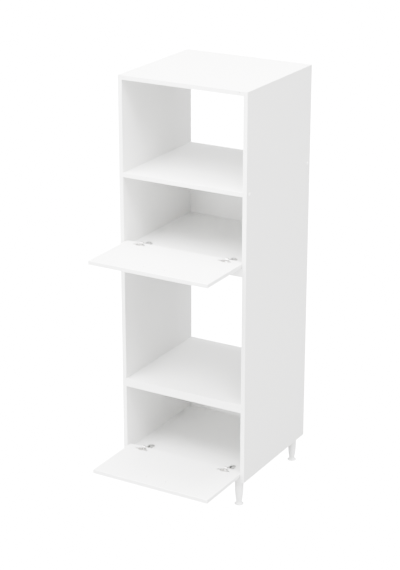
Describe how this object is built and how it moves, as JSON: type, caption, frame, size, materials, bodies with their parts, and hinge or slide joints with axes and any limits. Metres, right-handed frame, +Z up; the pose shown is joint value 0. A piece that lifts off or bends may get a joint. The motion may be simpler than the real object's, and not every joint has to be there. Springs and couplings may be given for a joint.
{
  "type": "microwave cabinet",
  "caption": "Tall white kitchen cabinet on levelling legs, with open niches for a microwave and an oven, each over a storage compartment behind a flap hinged at its lower edge.",
  "frame": {"origin": "on the floor, at the centre of the footprint that the cabinet covers with both flaps lying open", "axes": "+Z up, -Y out of the front, +X to the right as seen from the front"},
  "size_m": [0.6072, 0.8358, 1.813],
  "materials": {
    "board_white": "melamine-faced chipboard, plain white, satin",
    "back_white": "white lacquered hardboard, satin",
    "band_white": "white plastic edge band, satin",
    "plastic_white": "moulded white plastic, satin",
    "nickel": "nickel-plated steel",
    "zinc": "zinc-plated steel",
    "beech": "raw beech"
  },
  "bodies": {
    "cabinet": {"left_side_panel": "board_white", "right_side_panel": "board_white", "top_panel": "board_white", "microwave_shelf": "board_white", "upper_compartment_floor": "board_white", "oven_niche_top": "board_white", "oven_shelf": "board_white", "lower_compartment_top": "board_white", "bottom_panel": "board_white", "upper_back_panel": "back_white", "lower_back_panel": "back_white", "side_edge_bands": "band_white", "shelf_edge_bands": "band_white", "doubling_board_edge_bands": "band_white", "microwave_shelf_screws": "zinc", "screw_cover_caps": "plastic_white", "wooden_dowels": "beech", "cam_bolts": "zinc", "cam_locks": "zinc", "doubling_screws": "zinc", "front_left_leg_plate": "plastic_white", "front_right_leg_plate": "plastic_white", "rear_left_leg_plate": "plastic_white", "rear_right_leg_plate": "plastic_white", "front_left_leg": "plastic_white", "front_right_leg": "plastic_white", "rear_left_leg": "plastic_white", "rear_right_leg": "plastic_white", "leg_screws": "zinc", "upper_left_mounting_plate": "nickel", "upper_right_mounting_plate": "nickel", "lower_left_mounting_plate": "nickel", "lower_right_mounting_plate": "nickel", "upper_left_hinge_arm": "nickel", "upper_right_hinge_arm": "nickel", "lower_left_hinge_arm": "nickel", "lower_right_hinge_arm": "nickel", "mounting_plate_screws": "zinc", "hinge_fixing_screws": "zinc", "hinge_adjusting_screws": "zinc"},
    "upper_flap": {"upper_flap_panel": "board_white", "upper_flap_edge_bands": "band_white", "upper_left_hinge_cup": "nickel", "upper_right_hinge_cup": "nickel", "upper_hinge_pins": "zinc", "upper_cup_springs": "zinc", "upper_cup_screws": "zinc"},
    "lower_flap": {"lower_flap_panel": "board_white", "lower_flap_edge_bands": "band_white", "lower_left_hinge_cup": "nickel", "lower_right_hinge_cup": "nickel", "lower_hinge_pins": "zinc", "lower_cup_springs": "zinc", "lower_cup_screws": "zinc"},
    "front_left_foot": {"front_left_foot": "plastic_white"},
    "front_right_foot": {"front_right_foot": "plastic_white"},
    "rear_left_foot": {"rear_left_foot": "plastic_white"},
    "rear_right_foot": {"rear_right_foot": "plastic_white"}
  },
  "joints": [
    {"name": "upper_flap_hinge", "type": "hinge", "parent": "cabinet", "child": "upper_flap", "pos_m": [0, -0.1311, 1.0952], "axis": [1, 0, 0], "range_deg": [-90, 0]},
    {"name": "lower_flap_hinge", "type": "hinge", "parent": "cabinet", "child": "lower_flap", "pos_m": [0, -0.1311, 0.1532], "axis": [1, 0, 0], "range_deg": [-90, 0]},
    {"name": "front_left_foot_adjust", "type": "slide", "parent": "cabinet", "child": "front_left_foot", "axis": [0, 0, -1], "range_m": [0, 0.015]},
    {"name": "front_right_foot_adjust", "type": "slide", "parent": "cabinet", "child": "front_right_foot", "axis": [0, 0, -1], "range_m": [0, 0.015]},
    {"name": "rear_left_foot_adjust", "type": "slide", "parent": "cabinet", "child": "rear_left_foot", "axis": [0, 0, -1], "range_m": [0, 0.015]},
    {"name": "rear_right_foot_adjust", "type": "slide", "parent": "cabinet", "child": "rear_right_foot", "axis": [0, 0, -1], "range_m": [0, 0.015]}
  ]
}
